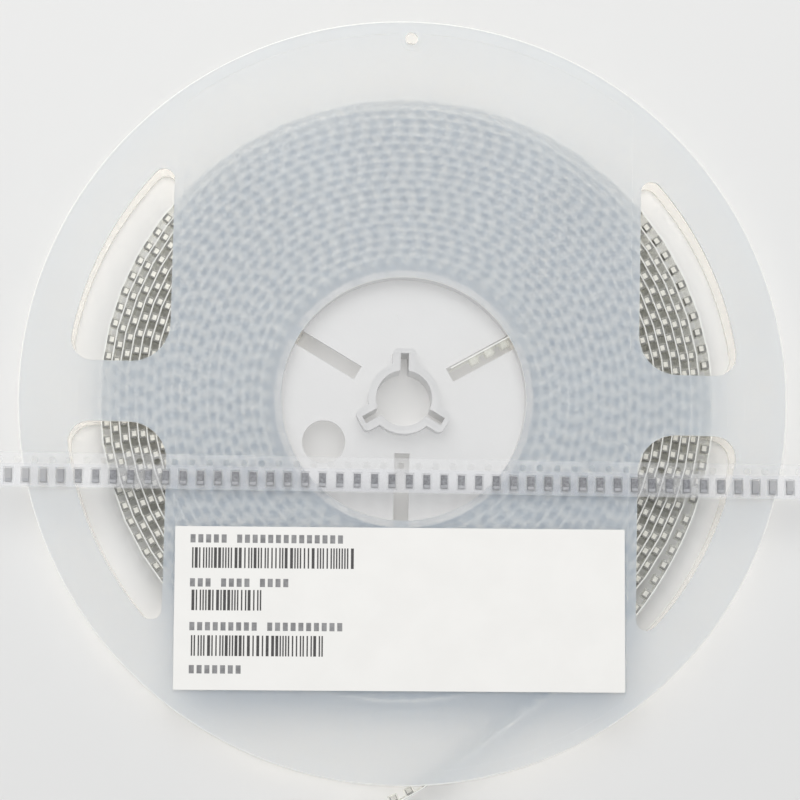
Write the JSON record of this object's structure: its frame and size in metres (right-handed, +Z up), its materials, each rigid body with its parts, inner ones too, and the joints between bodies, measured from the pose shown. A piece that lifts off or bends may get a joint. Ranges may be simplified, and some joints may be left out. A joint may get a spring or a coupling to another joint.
{
  "type": "component tape reel",
  "caption": "Flat moulded reel with windowed flanges, wound with embossed carrier tape that holds small chip parts; a label and a cut length of the tape lie on top.",
  "frame": {"origin": "on the spindle axis, in the lower flange's lower face", "axes": "+Z up along the spindle bore, +X along the right-hand spoke, +Y away from the label"},
  "size_m": [0.192, 0.1828, 0.0135],
  "materials": {
    "reel_plastic": "natural translucent moulded plastic, satin",
    "tape_plastic": "clear embossed carrier tape",
    "cover_film": "clear thin film",
    "chip_mould": "black moulding compound",
    "terminal_tin": "tin plated, satin",
    "label_paper": "coated white paper with plain black print"
  },
  "bodies": {
    "root": {"lower_flange": "reel_plastic", "upper_flange": "reel_plastic", "hub": "reel_plastic", "wound_carrier_tape": "tape_plastic", "wound_chips": "chip_mould", "free_end_film": "cover_film", "free_end_chip_bodies": "chip_mould", "free_end_chip_terminals": "terminal_tin", "strip_carrier_tape": "tape_plastic", "strip_film": "cover_film", "strip_chip_bodies": "chip_mould", "strip_chip_terminals": "terminal_tin", "label": "label_paper"}
  },
  "joints": []
}
